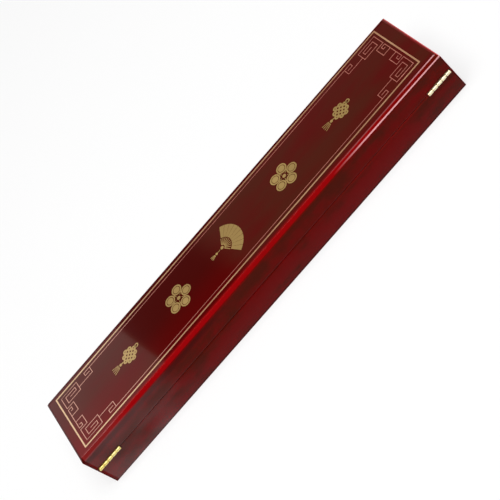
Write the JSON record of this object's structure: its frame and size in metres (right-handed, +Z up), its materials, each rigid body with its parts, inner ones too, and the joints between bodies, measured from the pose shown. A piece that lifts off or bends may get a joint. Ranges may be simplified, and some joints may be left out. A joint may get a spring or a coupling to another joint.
{
  "type": "hinged fan box",
  "caption": "Long lacquered wooden box for a folding fan, with a hinged lid, magnet closure, satin-lined trough and felt underside.",
  "frame": {"origin": "centre of the felt underside, midway between the outer faces of the four walls", "axes": "+X along the length of the box, +Y towards the hinged back, +Z up through the lid"},
  "size_m": [0.36, 0.0698, 0.038],
  "materials": {
    "lacquer": "gloss",
    "brass": "polished",
    "nickel": "satin",
    "satin": "satin",
    "foam": "matte",
    "card": "matte",
    "felt": "matte"
  },
  "bodies": {
    "base": {"base_floor_panel": "lacquer", "base_front_wall": "lacquer", "base_back_wall": "lacquer", "base_left_end_wall": "lacquer", "base_right_end_wall": "lacquer", "base_felt": "felt", "bed_board": "card", "bed_foam": "foam", "bed_satin": "satin", "base_magnet_left": "nickel", "base_magnet_right": "nickel", "left_hinge_base_leaf": "brass", "left_hinge_base_screw_1": "brass", "left_hinge_base_screw_2": "brass", "left_hinge_pin": "brass", "right_hinge_base_leaf": "brass", "right_hinge_base_screw_1": "brass", "right_hinge_base_screw_2": "brass", "right_hinge_pin": "brass"},
    "lid": {"lid_top_panel": "lacquer", "lid_front_wall": "lacquer", "lid_back_wall": "lacquer", "lid_left_end_wall": "lacquer", "lid_right_end_wall": "lacquer", "lid_front_lining": "satin", "lid_back_lining": "satin", "lid_left_lining": "satin", "lid_right_lining": "satin", "lid_pad_board": "card", "lid_pad_foam": "foam", "lid_pad_satin": "satin", "lid_magnet_left": "nickel", "lid_magnet_right": "nickel", "left_hinge_lid_leaf": "brass", "left_hinge_lid_screw_1": "brass", "left_hinge_lid_screw_2": "brass", "right_hinge_lid_leaf": "brass", "right_hinge_lid_screw_1": "brass", "right_hinge_lid_screw_2": "brass"}
  },
  "joints": [
    {"name": "lid_hinge", "type": "hinge", "parent": "base", "child": "lid", "pos_m": [0, 0.0345, 0.0204], "axis": [-1, 0, 0], "range_deg": [0, 180]}
  ]
}
